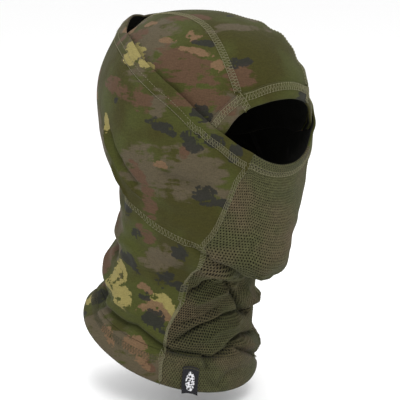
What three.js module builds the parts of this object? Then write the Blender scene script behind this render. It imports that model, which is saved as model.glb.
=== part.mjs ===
// Hinged stretch balaclava as worn. Millimetres, +Z up, face towards -Y, wearer's left is +X.
import * as THREE from 'three';

// ---- driving dimensions ----
const HEAD_SCALE = 1.0;          // overall size of the worn head form
const CROWN_HEIGHT = 75;         // crown above the widest ring of the head
const RIM_HEIGHT = 45;           // height of that ring above the origin
const CROWN_ARC = 128;           // chart length from the top of the head to that ring
const CROWN_POWER = 2.25;        // fullness of the crown
const NECK_TILT = 19;            // forward slope of the bottom edge, degrees
const LOWEST = -163;             // last station of the head form
const FABRIC = 1.2;              // one layer of cloth
const HEM = 2.0;                 // folded cloth
const TAPE = 0.7;                // flat seam thickness
const TAPE_WIDTH = 6;            // flat seam width
const TAPE_LIFT = 0.9;           // flat seam above its cloth
const SKIN_GAP = 0.3;            // inner layer above the head form
const HOOD_OVER_CROWN = 4.4;     // outer layer above the head form over the crown
const HOOD_ON_NECK = 2.0;        // outer layer above the head form lower down
const HOOD_PEAK_LIFT = 7;        // gap of the hood at the top of the back
const HOOD_PEAK_ARC = 56;        // hood edge at the back, from the top of the head
const HOOD_HEM_WIDTH = 14;       // folded hem of the hood
const JOIN_GAP = 0.8;            // gap between neighbouring panels
const MASK_TOP = 161;            // upper edge of the mask over the nose
const BINDING_WIDTH = 7;         // folded edge of the mask
const BOTTOM_TOP = 313;          // top of the bottom hem
const BOTTOM_EDGE = 337;         // bottom edge
const LABEL_WIDTH = 13.5;        // tag width
const LABEL_HEIGHT = 20;         // tag height

// Head stations: height, centre, half width, reach forward, reach back.
const STATIONS = [
  [45, 5, 75, 104, 92],
  [20, 5, 75, 106, 89],
  [0, 5, 73, 101, 81],
  [-20, 6, 69, 102, 72],
  [-40, 9, 64, 106, 63],
  [-56, 12, 61, 107, 58],
  [-67, 14, 59, 100, 58],
  [-76, 17, 58, 83, 60],
  [-86, 20, 57, 67, 63],
  [-100, 23, 58, 65, 66],
  [-122, 28, 60, 67, 71],
  [-145, 33, 63, 74, 76],
  [LOWEST, 38, 68, 81, 82],
];

// Seam lines as [turn from the face in degrees, distance from the top of the head].
const HOOD_EDGE = [
  [-180, HOOD_PEAK_ARC], [-135, 58], [-92, 72], [-76, 89], [-63, 104],
  [-51, 121], [-43, 133], [-35, 142], [-29, 148], [-22, 153],
];
const BROW_TOP = [[-48, 137], [-43, 131], [-37, 120], [-30, 111], [-21, 107], [0, 101]];
const BROW_EDGE = [[-40, 146], [-35, 138], [-31, 131], [-25, 124], [-13, 118], [0, 116]];
const NECK_SEAM = [[-180, 193], [-140, 196], [-102, 202], [-89, 208], [-78, 216], [-64, 222], [-45, 227]];
// Mesh side line as [distance from the top, turn].
const MESH_SIDE = [
  [150, -21], [163, -25.5], [175, -30], [188, -34], [204, -40], [215, -45], [224, -49],
  [243, -48], [262, -43], [277, -43], [291, -47], [303, -50], [322, -51.5], [340, -50],
];
// Crown join on the flat chart: [sideways, forward].
const CROWN_JOIN = [
  [-52.5, 95], [-48, 78], [-38, 52], [-30, 33], [-25, 12], [-24, -10], [-24, -60], [-26, -120], [-28, -172],
];
// Lower end of the inner crown, hidden by the hood.
const CROWN_LOW = [[-52, 146], [-64, 152], [-100, 165], [-140, 172], [-170, 174]];

const DEG = Math.PI / 180;

// ---- helpers ----
function smooth(t) {
  const c = Math.min(1, Math.max(0, t));
  return c * c * (3 - 2 * c);
}

function mix(a, b, t) {
  return a + (b - a) * t;
}

// Monotone cubic through rising knots.
function spline(xs, ys) {
  const n = xs.length;
  const slope = [];
  for (let i = 0; i < n - 1; i++) {
    slope.push((ys[i + 1] - ys[i]) / (xs[i + 1] - xs[i]));
  }
  const tangent = [slope[0]];
  for (let i = 1; i < n - 1; i++) {
    const a = slope[i - 1];
    const b = slope[i];
    tangent.push(a * b > 0 ? (2 * a * b) / (a + b) : 0);
  }
  tangent.push(slope[n - 2]);
  return (x) => {
    const c = Math.min(xs[n - 1], Math.max(xs[0], x));
    let i = 0;
    while (i < n - 2 && c > xs[i + 1]) {
      i += 1;
    }
    const h = xs[i + 1] - xs[i];
    const t = (c - xs[i]) / h;
    const t2 = t * t;
    const t3 = t2 * t;
    return (2 * t3 - 3 * t2 + 1) * ys[i] + (t3 - 2 * t2 + t) * h * tangent[i]
      + (3 * t2 - 2 * t3) * ys[i + 1] + (t3 - t2) * h * tangent[i + 1];
  };
}

const rising = [...STATIONS].reverse();
const heights = rising.map((row) => row[0]);
const stationAt = [1, 2, 3, 4].map((k) => spline(heights, rising.map((row) => row[k])));

// Point of the head form at turn (degrees) and distance from the top of the head.
function headPoint(turn, down) {
  const psi = (Math.min(down / CROWN_ARC, 1) * Math.PI) / 2;
  const r = (Math.sin(psi) ** CROWN_POWER + Math.cos(psi) ** CROWN_POWER) ** (-1 / CROWN_POWER);
  const rho = down < CROWN_ARC ? r * Math.sin(psi) : 1;
  const h = down < CROWN_ARC ? RIM_HEIGHT + CROWN_HEIGHT * r * Math.cos(psi) : RIM_HEIGHT - (down - CROWN_ARC);
  const hc = Math.min(RIM_HEIGHT, Math.max(LOWEST, h));
  const [centre, half, front, back] = stationAt.map((f) => f(hc));
  const slope = Math.max(0, (NECK_TILT * (RIM_HEIGHT - h)) / (RIM_HEIGHT - LOWEST)) * DEG;
  const s = Math.sin(turn * DEG);
  const c = Math.cos(turn * DEG);
  const reach = (c > 0 ? front : back) * rho * c;
  return new THREE.Vector3(half * rho * s, centre - reach * Math.cos(slope), h - reach * Math.sin(slope))
    .multiplyScalar(HEAD_SCALE);
}

// Point of the head form from flat chart coordinates, lifted along the normal.
function lifted(chart, lift) {
  const at = (x, y) => headPoint(Math.atan2(x, y) / DEG, Math.max(0.01, Math.hypot(x, y)));
  const e = 0.5;
  const [x, y] = chart;
  const dx = at(x + e, y).sub(at(x - e, y));
  const dy = at(x, y + e).sub(at(x, y - e));
  return at(x, y).addScaledVector(dy.cross(dx).normalize(), lift * HEAD_SCALE);
}

function chartOf(turn, down) {
  return [down * Math.sin(turn * DEG), down * Math.cos(turn * DEG)];
}

// Curve through chart control points, by arc length, 0 to 1.
function chartCurve(points) {
  const knots = [0];
  for (let i = 1; i < points.length; i++) {
    const step = Math.hypot(points[i][0] - points[i - 1][0], points[i][1] - points[i - 1][1]);
    knots.push(knots[i - 1] + step);
  }
  const total = knots[knots.length - 1];
  const fx = spline(knots, points.map((p) => p[0]));
  const fy = spline(knots, points.map((p) => p[1]));
  return (t) => [fx(t * total), fy(t * total)];
}

function turnCurve(points) {
  return chartCurve(points.map(([turn, down]) => chartOf(turn, down)));
}

function mirror(curve) {
  return (t) => {
    const [x, y] = curve(t);
    return [-x, y];
  };
}

function lerp2(a, b, t) {
  return [mix(a[0], b[0], t), mix(a[1], b[1], t)];
}

// Lift of the outer layer above the head form.
function outerLift(chart) {
  const down = Math.hypot(chart[0], chart[1]);
  const turn = Math.abs(Math.atan2(chart[0], chart[1])) / DEG;
  const base = mix(HOOD_OVER_CROWN, HOOD_ON_NECK, smooth((down - 172) / 36));
  const peak = smooth((turn - 95) / 70) * smooth((120 - down) / 60);
  return base + HOOD_PEAK_LIFT * peak;
}

// Closed solid between two lifted copies of a chart grid.
function cloth(name, chart, nu, nv, lift, thick, material) {
  const rows = nu + 1;
  const cols = nv + 1;
  const inner = [];
  const outer = [];
  for (let i = 0; i < rows; i++) {
    for (let j = 0; j < cols; j++) {
      const at = chart(i / nu, j / nv);
      const low = lift(at);
      inner.push(lifted(at, low));
      outer.push(lifted(at, low + thick));
    }
  }
  const points = [...inner, ...outer];
  const index = [];
  const top = rows * cols;
  const quad = (a, b, c, d) => index.push(a, b, c, a, c, d);
  for (let i = 0; i < nu; i++) {
    for (let j = 0; j < nv; j++) {
      const a = i * cols + j;
      const b = a + cols;
      quad(top + a, top + b, top + b + 1, top + a + 1);
      quad(a, a + 1, b + 1, b);
    }
  }
  for (let i = 0; i < nu; i++) {
    const a = i * cols;
    const b = a + cols;
    quad(a, b, top + b, top + a);
    quad(b + nv, a + nv, top + a + nv, top + b + nv);
  }
  for (let j = 0; j < nv; j++) {
    const a = j;
    const b = nu * cols + j;
    quad(a + 1, a, top + a, top + a + 1);
    quad(b, b + 1, top + b + 1, top + b);
  }
  let volume = 0;
  for (let k = 0; k < index.length; k += 3) {
    const [a, b, c] = [points[index[k]], points[index[k + 1]], points[index[k + 2]]];
    volume += a.dot(b.clone().cross(c));
  }
  if (volume < 0) {
    for (let k = 0; k < index.length; k += 3) {
      [index[k], index[k + 1]] = [index[k + 1], index[k]];
    }
  }
  const geometry = new THREE.BufferGeometry();
  geometry.setAttribute('position', new THREE.Float32BufferAttribute(points.flatMap((p) => p.toArray()), 3));
  geometry.setIndex(index);
  geometry.computeVertexNormals();
  const mesh = new THREE.Mesh(geometry, material.clone());
  mesh.name = name;
  return mesh;
}

// Chart point moved sideways from a chart curve by a true distance on the form.
function beside(curve, u, distance) {
  const here = curve(u);
  const a = curve(Math.max(0, u - 0.01));
  const b = curve(Math.min(1, u + 0.01));
  const length = Math.hypot(b[0] - a[0], b[1] - a[1]);
  const side = [-(b[1] - a[1]) / length, (b[0] - a[0]) / length];
  const near = lifted([here[0] - side[0], here[1] - side[1]], 0);
  const far = lifted([here[0] + side[0], here[1] + side[1]], 0);
  const chartDistance = (distance * 2) / near.distanceTo(far);
  return [here[0] + side[0] * chartDistance, here[1] + side[1] * chartDistance];
}

// Strip along a chart curve between two sideways distances.
function strip(curve, from, to, near, far) {
  return (s, t) => beside(curve, mix(from, to, s), mix(near, far, t));
}

function tape(curve, from, to) {
  return strip(curve, from, to, -TAPE_WIDTH / 2, TAPE_WIDTH / 2);
}

function flip(chart, sign) {
  return (s, t) => {
    const [x, y] = chart(s, t);
    return [sign * x, y];
  };
}

const SIDES = [['right', 1], ['left', -1]];
const BACK = -180 + 0.35;
const meshSide = spline(MESH_SIDE.map((p) => p[0]), MESH_SIDE.map((p) => p[1]));
const neckSeamDown = spline(NECK_SEAM.map((p) => p[0]), NECK_SEAM.map((p) => p[1]));
const hoodEdge = turnCurve(HOOD_EDGE);
const crownJoin = chartCurve(CROWN_JOIN);
const crownLow = turnCurve(CROWN_LOW);

function whole(points) {
  return [...points, ...points.slice(0, -1).reverse().map(([turn, down]) => [-turn, down])];
}

const browTop = turnCurve(whole(BROW_TOP));
const browEdge = turnCurve(whole(BROW_EDGE));

function crownLift() {
  return SKIN_GAP;
}

function above(base, thick) {
  return (chart) => base(chart) + thick + TAPE_LIFT;
}

// Turn of the mesh side line moved back by a true distance.
function meshEdge(down, distance) {
  return meshSide(down) - distance / 1.15;
}

// Upper edge of the mask over the nose.
function maskTop(turn) {
  return MASK_TOP - 8 * (Math.min(22, Math.abs(turn)) / 22) ** 2;
}

const group = new THREE.Group();
group.name = 'balaclava';
const olive = new THREE.MeshStandardMaterial({ color: 0x54562f, roughness: 0.95 });
const netting = new THREE.MeshStandardMaterial({ color: 0x4c4832, roughness: 0.95 });
const thread = new THREE.MeshStandardMaterial({ color: 0x82825f, roughness: 0.9 });
const charcoal = new THREE.MeshStandardMaterial({ color: 0x2b2b2d, roughness: 0.8 });
const pale = new THREE.MeshStandardMaterial({ color: 0xc8c8c8, roughness: 0.7 });

function add(name, chart, nu, nv, lift, thick, material) {
  group.add(cloth(name, chart, nu, nv, lift, thick, material));
}

// Inner crown, brow to nape: middle panel, two side panels, two flat seams.
function buildCrown() {
  const inset = JOIN_GAP / 2;
  add('crown_centre_panel', (s, t) => {
    const [x, y] = crownJoin(s);
    const bow = 4.5 * Math.sin(Math.PI * t) * smooth(1 - s * 6);
    return [mix(x + inset, -x - inset, t), y + bow];
  }, 20, 8, crownLift, FABRIC, olive);
  for (const [side, sign] of SIDES) {
    add(`crown_side_panel_${side}`, flip((s, t) => {
      const [x, y] = crownJoin(mix(0, 0.97, s));
      return lerp2([x - inset, y], crownLow(s), t);
    }, sign), 16, 7, crownLift, FABRIC, olive);
    const seam = flip(tape(crownJoin, 0.02, 0.96), sign);
    add(`crown_seam_${side}`, seam, 24, 1, above(crownLift, FABRIC), TAPE, thread);
  }
}

// Folded brow band in three lengths with its stitch line and two short seams.
function buildBrow() {
  const split = 0.235;
  const room = (TAPE_WIDTH / 2 + 3.6) / 150;
  const band = (from, to) => (s, t) => {
    const u = mix(from, to, s);
    return lerp2(browTop(u), browEdge(u), t);
  };
  const middle = (u) => lerp2(browTop(u), browEdge(u), 0.3);
  add('brow_band_centre', band(split + 0.002, 1 - split - 0.002), 14, 2, crownLift, HEM, olive);
  for (const [side, sign] of SIDES) {
    add(`brow_band_${side}`, flip(band(0, split - 0.002), sign), 6, 2, crownLift, HEM, olive);
    add(`brow_stitch_${side}`, flip(tape(middle, 0.06, split - room), sign), 5, 1,
      above(crownLift, HEM), TAPE, thread);
    const down = (u) => lerp2(browTop(split), browEdge(split), u);
    add(`brow_seam_${side}`, flip(tape(down, 0.08, 0.96), sign), 2, 1, above(crownLift, HEM), TAPE, thread);
  }
  add('brow_stitch_centre', tape(middle, split + room, 1 - split - room), 12, 1,
    above(crownLift, HEM), TAPE, thread);
}

// Point at a distance below the hood edge, ending at the mesh side line.
function hoodLine(u, distance) {
  const [x, y] = beside(hoodEdge, u * (1 - 0.0025 * distance), distance);
  const down = Math.hypot(x, y);
  const turn = Math.atan2(x, y) / DEG;
  const back = turn > 90 || u === 0 ? BACK : turn;
  return [Math.min(back, meshEdge(down, 2 * JOIN_GAP)), down];
}

// Outer hood: folded edge, stitch line, side panels and back seam.
function buildHood() {
  const width = HOOD_HEM_WIDTH;
  const below = HOOD_HEM_WIDTH + 2 * JOIN_GAP;
  const back = (from, to) => (u) => chartOf(180, mix(from, to, u));
  const seam = tape(back(HOOD_PEAK_ARC + HOOD_HEM_WIDTH + 6, 188), 0, 1);
  add('hood_back_seam', seam, 14, 1, above(outerLift, FABRIC), TAPE, thread);
  for (const [side, sign] of SIDES) {
    const hem = (s, t) => chartOf(...hoodLine(s, width * t));
    add(`hood_edge_hem_${side}`, flip(hem, sign), 20, 2, outerLift, HEM, olive);
    const row = (s, t) => chartOf(...hoodLine(mix(0.01, 0.985, s), width - TAPE_WIDTH * t));
    add(`hood_hem_stitch_${side}`, flip(row, sign), 20, 1, above(outerLift, HEM), TAPE, thread);
    const panel = (s, t) => {
      const [fromTurn, fromDown] = hoodLine(s, below);
      const lowTurn = mix(BACK, meshEdge(224, JOIN_GAP), s);
      const down = mix(fromDown, neckSeamDown(lowTurn) - JOIN_GAP / 2, t);
      const [endTurn, endDown] = hoodLine(1, below);
      const frontPlain = mix(endTurn, meshEdge(224, JOIN_GAP), t);
      const frontDown = mix(endDown, neckSeamDown(meshEdge(224, 0)), t);
      const reach = (meshEdge(frontDown, JOIN_GAP) - BACK) / (frontPlain - BACK);
      return chartOf(BACK + (mix(fromTurn, lowTurn, t) - BACK) * reach, down);
    };
    add(`hood_side_panel_${side}`, flip(panel, sign), 20, 11, outerLift, FABRIC, olive);
  }
}

// Face mesh, its folded top edge and its side seams.
function buildMask() {
  const edge = (down) => -meshEdge(down, -JOIN_GAP / 2);
  add('mask_top_binding', (s, t) => {
    const far = edge(MASK_TOP - 8 + BINDING_WIDTH * t);
    const turn = mix(-far, far, s);
    return chartOf(turn, maskTop(turn) + BINDING_WIDTH * t);
  }, 12, 1, outerLift, HEM, netting);
  add('face_mesh_panel', (s, t) => {
    const start = (turn) => maskTop(turn) + BINDING_WIDTH + JOIN_GAP;
    const plain = mix(start(22), BOTTOM_TOP - JOIN_GAP, t);
    const turn = mix(-edge(plain), edge(plain), s);
    return chartOf(turn, mix(start(turn), BOTTOM_TOP - JOIN_GAP, t));
  }, 12, 26, outerLift, FABRIC, netting);
  for (const [side, sign] of SIDES) {
    const line = (from, to) => (u) => chartOf(meshSide(mix(from, to, u)), mix(from, to, u));
    const seam = tape(line(169, BOTTOM_TOP - 2), 0, 1);
    add(`mesh_seam_${side}`, flip(seam, sign), 26, 1, above(outerLift, FABRIC), TAPE, thread);
    const hemSeam = tape(line(BOTTOM_TOP + 1, BOTTOM_EDGE - 1), 0, 1);
    add(`hem_seam_${side}`, flip(hemSeam, sign), 3, 1, above(outerLift, HEM), TAPE, thread);
  }
}

// Neck panels with their seams.
function buildNeck() {
  const back = (u) => chartOf(180, mix(197, BOTTOM_TOP - 2, u));
  add('neck_back_seam', tape(back, 0, 1), 14, 1, above(outerLift, FABRIC), TAPE, thread);
  for (const [side, sign] of SIDES) {
    add(`neck_panel_${side}`, flip((s, t) => {
      const line = mix(BACK, meshEdge(224, JOIN_GAP), s);
      const down = mix(neckSeamDown(line) + JOIN_GAP / 2, BOTTOM_TOP - JOIN_GAP, t);
      const frontDown = mix(neckSeamDown(meshEdge(224, 0)), BOTTOM_TOP - JOIN_GAP, t);
      return chartOf(mix(BACK, meshEdge(frontDown, JOIN_GAP), s), down);
    }, sign), 20, 10, outerLift, FABRIC, olive);
    const line = (u) => chartOf(mix(-174, -56, u), neckSeamDown(mix(-174, -56, u)));
    add(`neck_seam_${side}`, flip(tape(line, 0, 1), sign), 18, 1, above(outerLift, FABRIC), TAPE, thread);
  }
}

// Folded bottom hem with its stitch rows.
function buildBottom() {
  const row = (BOTTOM_TOP + BOTTOM_EDGE) / 2;
  add('bottom_hem_front', (s, t) => {
    const down = mix(BOTTOM_TOP, BOTTOM_EDGE, t);
    const far = -meshEdge(down, -JOIN_GAP / 2);
    return chartOf(mix(-far, far, s), down);
  }, 12, 2, outerLift, HEM, netting);
  const labelTurn = -21;
  const front = (u) => chartOf(mix(labelTurn, 45, u), row);
  add('bottom_hem_stitch_front', tape(front, 0, 1), 10, 1, above(outerLift, HEM), TAPE, thread);
  for (const [side, sign] of SIDES) {
    add(`bottom_hem_${side}`, flip((s, t) => {
      const down = mix(BOTTOM_TOP, BOTTOM_EDGE, t);
      return chartOf(mix(BACK, meshEdge(down, JOIN_GAP), s), down);
    }, sign), 16, 2, outerLift, HEM, olive);
    const line = (u) => chartOf(mix(-179, meshSide(row) - 6, u), row);
    add(`bottom_hem_stitch_${side}`, flip(tape(line, 0, 1), sign), 18, 1,
      above(outerLift, HEM), TAPE, thread);
  }
}

// Tag at the front right of the hem, with a plain oval mark and one row of stitches.
function buildLabel() {
  const middle = -32;
  const top = BOTTOM_TOP + 6;
  const line = (u) => chartOf(middle, mix(top, top + LABEL_HEIGHT, u));
  const tagLift = (chart) => outerLift(chart) + HEM + 0.5;
  const markLift = (chart) => tagLift(chart) + TAPE + 0.3;
  add('label_tag', strip(line, 0, 1, -LABEL_WIDTH / 2, LABEL_WIDTH / 2), 5, 3, tagLift, TAPE, charcoal);
  add('label_mark', (s, t) => {
    const a = 2 * s - 1;
    const b = 2 * t - 1;
    const along = 0.56 + 0.36 * a * Math.sqrt(1 - (b * b) / 2);
    return beside(line, along, LABEL_WIDTH * 0.32 * b * Math.sqrt(1 - (a * a) / 2));
  }, 6, 5, markLift, 0.4, pale);
  add('label_stitch', strip(line, 0.06, 0.12, -LABEL_WIDTH * 0.4, LABEL_WIDTH * 0.4), 1, 3,
    markLift, 0.4, thread);
}

buildCrown();
buildBrow();
buildHood();
buildMask();
buildNeck();
buildBottom();
buildLabel();
export default group;
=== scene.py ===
import math

import bpy
import numpy as np
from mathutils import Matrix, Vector


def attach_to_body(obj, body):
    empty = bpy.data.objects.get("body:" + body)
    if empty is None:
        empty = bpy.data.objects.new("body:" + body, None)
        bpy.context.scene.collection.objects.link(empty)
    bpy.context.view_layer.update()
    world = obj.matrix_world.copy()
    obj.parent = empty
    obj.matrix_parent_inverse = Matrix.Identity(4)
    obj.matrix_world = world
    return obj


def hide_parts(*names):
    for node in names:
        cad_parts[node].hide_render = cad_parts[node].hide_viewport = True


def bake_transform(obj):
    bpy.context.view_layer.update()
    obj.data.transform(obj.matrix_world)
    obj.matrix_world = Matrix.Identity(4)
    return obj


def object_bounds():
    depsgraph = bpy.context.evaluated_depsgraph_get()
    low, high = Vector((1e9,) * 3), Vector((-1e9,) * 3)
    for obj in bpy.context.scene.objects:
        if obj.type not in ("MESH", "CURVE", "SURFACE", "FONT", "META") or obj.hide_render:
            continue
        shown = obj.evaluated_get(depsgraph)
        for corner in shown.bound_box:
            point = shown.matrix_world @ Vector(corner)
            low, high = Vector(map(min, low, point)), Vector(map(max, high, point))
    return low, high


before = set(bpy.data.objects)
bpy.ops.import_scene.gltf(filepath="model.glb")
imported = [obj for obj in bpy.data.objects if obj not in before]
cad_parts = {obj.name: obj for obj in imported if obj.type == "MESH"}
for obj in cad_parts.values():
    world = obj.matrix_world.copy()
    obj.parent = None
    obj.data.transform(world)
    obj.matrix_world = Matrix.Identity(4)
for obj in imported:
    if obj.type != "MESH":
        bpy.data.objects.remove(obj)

bl_info = {
    "name": "Hinged balaclava",
    "version": (1, 0, 0),
    "blender": (4, 5, 0),
    "location": "View3D > Sidebar > Balaclava",
    "description": "Builds a worn hinged stretch balaclava from sewn panels",
    "category": "Object",
}

CAD_LOW, CAD_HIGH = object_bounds()
MM = 0.001

# Head form: height, centre, half width, reach forward, reach back, in millimetres.
STATIONS = np.array([
    [45, 5, 75, 104, 92], [20, 5, 75, 106, 89], [0, 5, 73, 101, 81], [-20, 6, 69, 102, 72],
    [-40, 9, 64, 106, 63], [-56, 12, 61, 107, 58], [-67, 14, 59, 100, 58], [-76, 17, 58, 83, 60],
    [-86, 20, 57, 67, 63], [-100, 23, 58, 65, 66], [-122, 28, 60, 67, 71], [-145, 33, 63, 74, 76],
    [-163, 38, 68, 81, 82]], float)
RIM, TALL, ARC, POWER, TILT, LOWEST = 45.0, 75.0, 128.0, 2.25, 19.0, -163.0
NOMINAL_WIDTH = 0.1632
SCALE = (CAD_HIGH[0] - CAD_LOW[0]) / NOMINAL_WIDTH

# Seam lines as (turn from the face in degrees, distance from the top of the head in millimetres).
HOOD_EDGE = [(-180, 56), (-135, 58), (-92, 72), (-76, 89), (-63, 104), (-51, 121), (-43, 133),
             (-35, 142), (-29, 148), (-22, 153)]
BROW_TOP = [(-48, 137), (-43, 131), (-37, 120), (-30, 111), (-21, 107), (0, 101)]
BROW_EDGE = [(-40, 146), (-35, 138), (-31, 131), (-25, 124), (-13, 118), (0, 116)]
NECK_SEAM = [(-180, 193), (-140, 196), (-102, 202), (-89, 208), (-78, 216), (-64, 222), (-45, 227)]
MESH_SIDE = [(150, -21), (163, -25.5), (175, -30), (188, -34), (204, -40), (215, -45), (224, -49),
             (243, -48), (262, -43), (277, -43), (291, -47), (303, -50), (322, -51.5), (340, -50)]
CROWN_JOIN = [(-52.5, 95), (-48, 78), (-38, 52), (-30, 33), (-25, 12), (-24, -10), (-24, -60),
              (-26, -120), (-28, -172)]
CROWN_LOW = [(-52, 146), (-64, 152), (-100, 165), (-140, 172), (-170, 174)]
MASK_TOP, BINDING, HEM_TOP, HEM_EDGE, HOOD_HEM = 161.0, 7.0, 318.0, 338.0, 14.0

FOLD_GAIN = 1.25

# Folds: points (turn, down), half width, height (negative is a crease), all in millimetres.
FOLDS = [
    ([(-52, 229), (-43, 234), (-35, 238), (-25, 242), (-14, 247), (0, 253), (16, 256), (34, 251), (66, 240)],
     3.2, -5.5),
    ([(-16, 239), (0, 244), (14, 246), (30, 240)], 5.0, 3.2),
    ([(-50, 241), (-41, 244), (-30, 245), (-20, 246)], 2.6, 2.0),
    ([(-42, 279), (-38, 269), (-31, 262), (-28, 255), (-23, 251), (-12, 251)], 2.0, -4.2),
    ([(-40, 282), (-30, 275), (-22, 271), (-8, 264), (2, 260)], 4.2, 3.6),
    ([(-24, 250), (-9, 261), (1, 272), (10, 283), (22, 291), (38, 294)], 2.3, -5.0),
    ([(2, 262), (13, 271), (24, 281), (38, 287), (58, 287)], 4.0, 5.0),
    ([(-52, 316), (-44, 309), (-35, 301), (-25, 294), (-12, 289), (0, 287), (16, 290), (32, 297)], 2.0, -4.4),
    ([(-46, 304), (-35, 296), (-20, 289), (-6, 284)], 2.4, 2.0),
    ([(-46, 299), (-35, 292), (-22, 285), (-10, 279)], 1.8, -1.8),
    ([(-42, 315), (-31, 309), (-17, 302), (0, 297), (16, 297)], 4.0, 3.4),
    ([(-10, 312), (-2, 310), (6, 308), (18, 308), (34, 313), (50, 317), (70, 310)], 2.2, -6.5),
    ([(-8, 315), (3, 313), (16, 314), (30, 320), (44, 326), (62, 325)], 2.8, 2.8),
    ([(-23, 316), (-20, 327)], 2.2, -3.0),
    ([(-28, 331), (-11, 335), (10, 333)], 2.2, -1.8),
    ([(-165, 195), (-135, 198), (-108, 203), (-92, 206)], 12.0, -4.0),
    ([(165, 195), (135, 198), (108, 203), (92, 206)], 12.0, -3.5),
    ([(-140, 324), (-118, 320), (-89, 312), (-68, 310), (-55, 315), (-38, 317), (-9, 316), (12, 317),
      (27, 324), (40, 334), (52, 338), (70, 328), (100, 316), (150, 321)], 2.4, -5.0),
    ([(-130, 311), (-100, 303), (-80, 298), (-62, 299)], 5.0, 1.8),
    ([(-170, 240), (-130, 244), (-104, 246), (-80, 252)], 5.0, 3.0),
    ([(-170, 262), (-130, 264), (-106, 267)], 5.0, -4.6),
    ([(-175, 285), (-135, 287), (-108, 289), (-84, 294)], 6.0, 3.4),
    ([(-170, 316), (-130, 316), (-107, 312)], 8.0, -8.0),
    ([(-170, 300), (-132, 303), (-112, 303), (-94, 306)], 3.0, -2.4),
    ([(-71, 171), (-60, 175), (-47, 179), (-38, 182)], 6.0, -2.4),
    ([(-74, 161), (-60, 164), (-44, 169)], 7.0, 1.4),
    ([(-109, 136), (-104, 158), (-97, 170), (-91, 180), (-86, 189), (-80, 200)], 2.0, 3.2),
    ([(-104, 140), (-99, 158), (-92, 171), (-86, 181), (-80, 191)], 2.8, -2.4),
    ([(-104, 173), (-100, 190), (-93, 203)], 2.2, 2.4),
    ([(-58, 224), (-51, 229), (-44, 232)], 3.0, -2.6),
    ([(-90, 262), (-72, 256), (-56, 252)], 7.0, 2.0),
    ([(-84, 272), (-68, 268), (-52, 266)], 5.0, -1.4),
    ([(-32, 196), (-15, 204), (5, 207)], 5.0, -0.8),
    ([(-30, 176), (-10, 180), (15, 181)], 6.0, 0.8),
    ([(60, 226), (85, 234), (120, 232), (150, 224)], 6.0, 3.6),
    ([(62, 246), (90, 250), (130, 247)], 4.0, -3.0),
    ([(55, 282), (90, 280), (140, 270), (180, 268)], 8.0, 5.0),
    ([(70, 262), (95, 259), (130, 256)], 5.0, 1.8),
    ([(80, 298), (120, 299), (160, 297)], 4.0, -3.2),
    ([(38, 180), (52, 176), (70, 170)], 6.0, -2.0),
    ([(108, 140), (102, 160), (94, 178), (84, 196)], 2.4, 2.2),
    ([(100, 146), (93, 166), (84, 184)], 3.2, -1.5),
]

# Placed blotches: colour, turn, down, half length, half height, slope in degrees.
# The khaki blotch at turn -105, down 141 is partly print and partly a painted highlight on the top of the pleat ridge
# there.
BLOTCHES = """
tan -99 46 6 4 0, tan -70 64 7 3 0, tan -52 59 6 5 0, tan -50 74 13 3 15, tan -38 87 5 4 -30,
charcoal -45 66 8 3 5, charcoal -47 125 7 6 10, brown -57 87 22 11 20, brown -46 115 18 7 10,
brown -26 96 9 8 0, brown -59 31 13 6 0, taupe -36 124 12 9 -30, taupe -8 47 20 4 0,
charcoal -25 84 8 4 -10, charcoal 10 30 4 2 0, charcoal 20 117 9 5 15,
taupe -82 70 17 22 0, brown -100 60 8 6 0, taupe -100 328 26 9 10,
brown -113 67 5 7 0, khaki -88 82 11 8 45, khaki -78 89 6 3 20, brown -95 110 14 5 15,
charcoal -94 120 3 3 0, brown -77 118 7 8 0, taupe -69 120 6 8 0, charcoal -67 137 12 4 20,
charcoal -52 146 8 6 20, charcoal -42 145 7 4 10, charcoal -31 152 4 6 20, brown -56 154 3 3 0,
taupe -76 172 18 14 10, taupe -51 166 22 12 10, tan -67 165 7 3 15, brown -81 177 5 8 -40,
brown -77 202 6 7 0, charcoal -45 185 10 6 10, charcoal -37 189 8 3 10, taupe -47 177 18 9 0,
charcoal -97 210 6 8 -40, brown -81 228 8 5 20, charcoal -87 231 6 4 0, charcoal -61 233 7 5 10,
charcoal -92 256 13 5 10, charcoal -59 260 6 8 0, charcoal -45 265 9 3 15, charcoal -71 281 5 3 0,
charcoal -60 296 9 7 30, taupe -69 243 13 8 0, khaki -104 278 6 15 10,
khaki -92 288 12 8 10, khaki -98 268 9 3 30,
khaki -56 281 14 5 10, tan -72 275 6 3 10, tan -60 287 14 5 15, taupe -107 322 9 8 30,
tan -69 323 12 7 25, tan -92 326 9 4 20, taupe -72 330 36 9 25, khaki -105 141 4 7 0,
brown -76 189 5 4 0, taupe -50 331 14 8 0, brown -60 331 6 3 20
"""


# ---- the head form and its chart ----
def spline(knots, values):
    """Monotone cubic: Hermite pieces whose slope at a knot is the harmonic mean of its neighbours'."""
    xs = np.asarray(knots, float)
    ys = np.asarray(values, float)
    slope = np.diff(ys) / np.diff(xs)
    inner = np.where(slope[:-1] * slope[1:] > 0,
                     2 * slope[:-1] * slope[1:] / np.where(slope[:-1] + slope[1:] == 0, 1, slope[:-1] + slope[1:]), 0)
    tangent = np.concatenate([slope[:1], inner, slope[-1:]])

    def at(x):
        c = np.clip(x, xs[0], xs[-1])
        i = np.clip(np.searchsorted(xs, c) - 1, 0, len(xs) - 2)
        h = xs[i + 1] - xs[i]
        t = (c - xs[i]) / h
        t2, t3 = t * t, t * t * t
        return ((2 * t3 - 3 * t2 + 1) * ys[i] + (t3 - 2 * t2 + t) * h * tangent[i]
                + (3 * t2 - 2 * t3) * ys[i + 1] + (t3 - t2) * h * tangent[i + 1])
    return at


RISING = STATIONS[::-1]
STATION_AT = [spline(RISING[:, 0], RISING[:, k]) for k in range(1, 5)]


def smooth(t):
    """Eased step: 3t^2 - 2t^3 of t held between 0 and 1."""
    c = np.clip(t, 0, 1)
    return c * c * (3 - 2 * c)


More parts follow.
